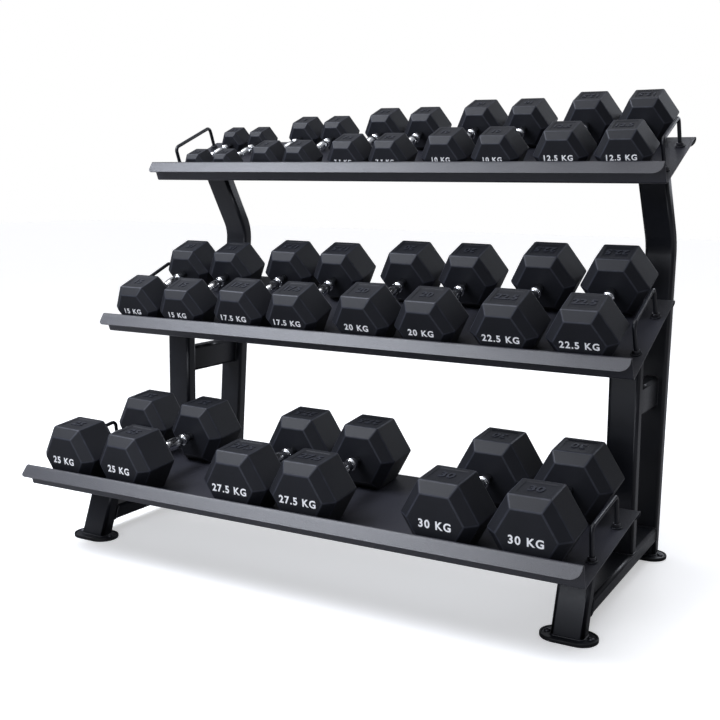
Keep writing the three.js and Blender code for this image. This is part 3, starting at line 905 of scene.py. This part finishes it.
def build_handle(weight):
    """Chromed bar about its own centre: necks, finger rings, grooves and a swelling knurled grip."""
    sizes = dumbbell_sizes(weight)
    half = sizes["grip"] / 2
    thick = sizes["thickness"]
    ring_start = half - NECK
    ring_end = ring_start - RING
    groove_end = ring_end - GROOVE
    round_off = 2 * MM

    def build(bm):
        outer = [(NECK_RADIUS, half + HANDLE_SUNK), (NECK_RADIUS, ring_start + round_off),
                 (NECK_RADIUS + 0.6 * MM, ring_start + 0.6 * MM), (RING_RADIUS - round_off, ring_start),
                 (RING_RADIUS - 0.6 * MM, ring_start - 0.6 * MM), (RING_RADIUS, ring_start - round_off),
                 (RING_RADIUS, ring_end + round_off), (RING_RADIUS - 0.6 * MM, ring_end + 0.6 * MM),
                 (RING_RADIUS - round_off, ring_end), (GROOVE_RADIUS, ring_end - 0.8 * MM),
                 (GROOVE_RADIUS, groove_end + 0.8 * MM), (GRIP_END_RADIUS - 0.5 * MM, groove_end),
                 (GRIP_END_RADIUS, groove_end - 0.8 * MM)]
        rows = 44
        knurled = groove_end - 1.5 * MM
        swell = []
        for i in range(rows + 1):
            y = knurled * (1 - 2 * i / rows)
            bulge = 1 - (y / knurled) ** 2
            swell.append((GRIP_END_RADIUS + (GRIP_RADIUS - GRIP_END_RADIUS) * bulge, y))
        profile = outer + swell + [(radius, -y) for radius, y in reversed(outer)]
        sides = 4 * KNURLS_ROUND
        rings = []
        for radius, y in profile:
            ring = []
            for i in range(sides):
                angle = math.tau * i / sides
                reach = radius * thick
                if abs(y) < knurled * 0.999:
                    lead = y / (GRIP_RADIUS * thick)
                    left = math.cos((angle + lead) * KNURLS_ROUND)
                    right = math.cos((angle - lead) * KNURLS_ROUND)
                    reach -= KNURL_DEPTH * (1 - min(left, right)) / 2
                ring.append((reach * math.cos(angle), y, reach * math.sin(angle)))
            rings.append(ring)
        skin(bm, rings)

    return build


PRINT_SIZE = 18 * MM  # on the heaviest head
PRINT_THICK = 0.3 * MM
PRINT_BOLD = 0.7 * MM
PRINT_LOWER = 7 * MM  # below the middle of the heaviest head


def print_mesh(weight):
    """The weight in white on a head's end face, standing up from it by a hair."""
    sizes = dumbbell_sizes(weight)
    size = sizes["scale"]
    ink = text_mesh(f"{weight:g} KG", PRINT_SIZE * size, PRINT_THICK, PRINT_BOLD * size, 1.2)
    ink.shade_flat()
    low = -PRINT_LOWER * (weight / HEAVY) ** 3
    ink.transform(Matrix.Translation((0, -sizes["span"] / 2, low)) @ Matrix.Rotation(math.pi / 2, 4, "X"))
    return ink


def add_dumbbell(node, weight, x, degrees, matrix):
    """A head, a handle and a second head turned round, lying on a shelf against its lip."""
    sizes = dumbbell_sizes(weight)
    turn = math.radians(degrees)
    end_corner = sizes["flats"] / math.sqrt(3) * HEAD_END
    back = sizes["reach"] * math.cos(turn) + end_corner * math.sin(abs(turn))
    spot = (x * MM, SHEET + HEAD_REST + back, SHEET + GAP + sizes["flats"] / 2)
    centre = matrix @ Matrix.Translation(spot) @ Matrix.Rotation(-turn, 4, "Z")
    key = f"{weight:g}kg".replace(".", "_")
    if f"{key}_print" not in MESHES:
        MESHES[f"{key}_print"] = print_mesh(weight)
    handle = shared(f"{key}_handle", build_handle(weight))
    add_piece(f"{node}_handle", handle, node, "chrome", centre)
    away = Matrix.Translation((0, sizes["span"] / 2 - sizes["reach"], 0))
    for end, way in (("front", centre), ("rear", centre @ Matrix.Rotation(math.pi, 4, "Z"))):
        stands_for = [node] if end == "front" else []
        head = shared(f"{key}_head", build_head(weight))
        add_piece(f"{node}_{end}_head", head, node, "rubber_head", way @ away, stands_for)
        add_piece(f"{node}_{end}_print", MESHES[f"{key}_print"], node, "white_print", way @ away)


def add_dumbbells(shelf):
    """A shelf's dumbbells. The first of each weight is the left one of its pair."""
    seen = set()
    for weight, x, degrees in shelf["dumbbells"]:
        side = "right" if weight in seen else "left"
        seen.add(weight)
        node = f"dumbbell_{weight:g}kg_{side}".replace(".", "_")
        add_dumbbell(node, weight, x, degrees, shelf_matrix(shelf))


# ---- studio ----
CAMERA_SPOT = (1.3381, -1.9522 + ROW_Y, 0.9512)
CAMERA_AZIMUTH = math.radians(28.035)
CAMERA_DOWN = math.radians(7.345)
CAMERA_ROLL = math.radians(0.679)
CAMERA_LENS = 52.79  # mm, on a sensor 36 mm wide
CAMERA_SHIFT = (-0.0368, -0.0476)


def add_camera():
    """From the front right, a little above the middle shelf."""
    camera = bpy.data.cameras.new("camera")
    camera.sensor_width = 36
    camera.lens = CAMERA_LENS
    camera.shift_x, camera.shift_y = CAMERA_SHIFT
    view = bpy.data.objects.new("camera", camera)
    bpy.context.scene.collection.objects.link(view)
    turn = Matrix.Rotation(CAMERA_AZIMUTH, 4, "Z") @ Matrix.Rotation(math.pi / 2 - CAMERA_DOWN, 4, "X")
    turn = turn @ Matrix.Rotation(CAMERA_ROLL, 4, "Z")
    view.matrix_world = Matrix.Translation(CAMERA_SPOT) @ turn
    bpy.context.scene.camera = view


LAMP_COLOR = (0.87, 0.91, 1.0)
ROOM_LOW = (0.05, 0.05, 0.055)
ROOM_HIGH = (0.4, 0.41, 0.44)


def add_area_light(name, spot, target, size, power, gloss=1.0):
    """A soft box. The gloss says how strongly it shows in reflections."""
    light = bpy.data.lights.new(name, "AREA")
    light.specular_factor = gloss
    light.shape = "RECTANGLE"
    light.size, light.size_y = size
    light.energy = power
    light.color = LAMP_COLOR
    lamp = bpy.data.objects.new(name, light)
    bpy.context.scene.collection.objects.link(lamp)
    way = Vector(target) - Vector(spot)
    lamp.matrix_world = Matrix.Translation(spot) @ way.to_track_quat("-Z", "Y").to_matrix().to_4x4()


def add_sun(name, way, strength, spread):
    light = bpy.data.lights.new(name, "SUN")
    light.energy = strength
    light.angle = math.radians(spread)
    lamp = bpy.data.objects.new(name, light)
    bpy.context.scene.collection.objects.link(lamp)
    lamp.matrix_world = Vector(way).to_track_quat("-Z", "Y").to_matrix().to_4x4()


def add_world():
    """White behind the object, and a dimmer room, brighter above, for the light it gives."""
    world = bpy.data.worlds.new("studio")
    bpy.context.scene.world = world
    world.use_nodes = True
    tree = world.node_tree
    tree.nodes.clear()
    place = tree.nodes.new("ShaderNodeTexCoord")
    split = tree.nodes.new("ShaderNodeSeparateXYZ")
    ramp = tree.nodes.new("ShaderNodeValToRGB")
    ramp.color_ramp.elements[0].position = 0.0
    ramp.color_ramp.elements[0].color = (*ROOM_LOW, 1)
    ramp.color_ramp.elements[1].position = 0.9
    ramp.color_ramp.elements[1].color = (*ROOM_HIGH, 1)
    seen = tree.nodes.new("ShaderNodeLightPath")
    white = tree.nodes.new("ShaderNodeBackground")
    white.inputs["Color"].default_value = (1, 1, 1, 1)
    room = tree.nodes.new("ShaderNodeBackground")
    mix = tree.nodes.new("ShaderNodeMixShader")
    output = tree.nodes.new("ShaderNodeOutputWorld")
    tree.links.new(place.outputs["Generated"], split.inputs["Vector"])
    tree.links.new(split.outputs["Z"], ramp.inputs["Fac"])
    tree.links.new(ramp.outputs["Color"], room.inputs["Color"])
    tree.links.new(seen.outputs["Is Camera Ray"], mix.inputs["Fac"])
    tree.links.new(room.outputs["Background"], mix.inputs[1])
    tree.links.new(white.outputs["Background"], mix.inputs[2])
    tree.links.new(mix.outputs["Shader"], output.inputs["Surface"])


def add_studio():
    mesh = new_mesh("floor", lambda bm: bmesh.ops.create_grid(bm, x_segments=8, y_segments=8, size=20))
    mesh.materials.append(studio_floor())
    floor = bpy.data.objects.new("floor", mesh)
    bpy.context.scene.collection.objects.link(floor)
    add_world()
    add_sun("overhead", (0.2, 0.1, -1), 1.2, 60)
    add_area_light("key", (-1.4, -1.2, 2.6), (-0.2, -0.2, 0.7), (1.8, 1.2), 105)
    add_area_light("fill", (0.2, -3.6, 1.4), (0, 0, 0.5), (2.4, 1.6), 42, 0.12)
    add_area_light("rear", (0.9, 3.4, 2.2), (0, 0, 0.6), (2.4, 1.6), 42, 0.35)
    bpy.context.scene.view_settings.view_transform = "Standard"


# ---- assembly ----
add_camera()
for name, shelf in SHELVES.items():
    add_shelf(name, shelf)
    add_dumbbells(shelf)
for side in SIDES:
    frame_side = SideFrame(side)
    add_tubes(frame_side)
    add_foot(side, "front", FRONT_FOOT_Y)
    add_foot(side, "rear", REAR_FOOT_Y)
add_studio()
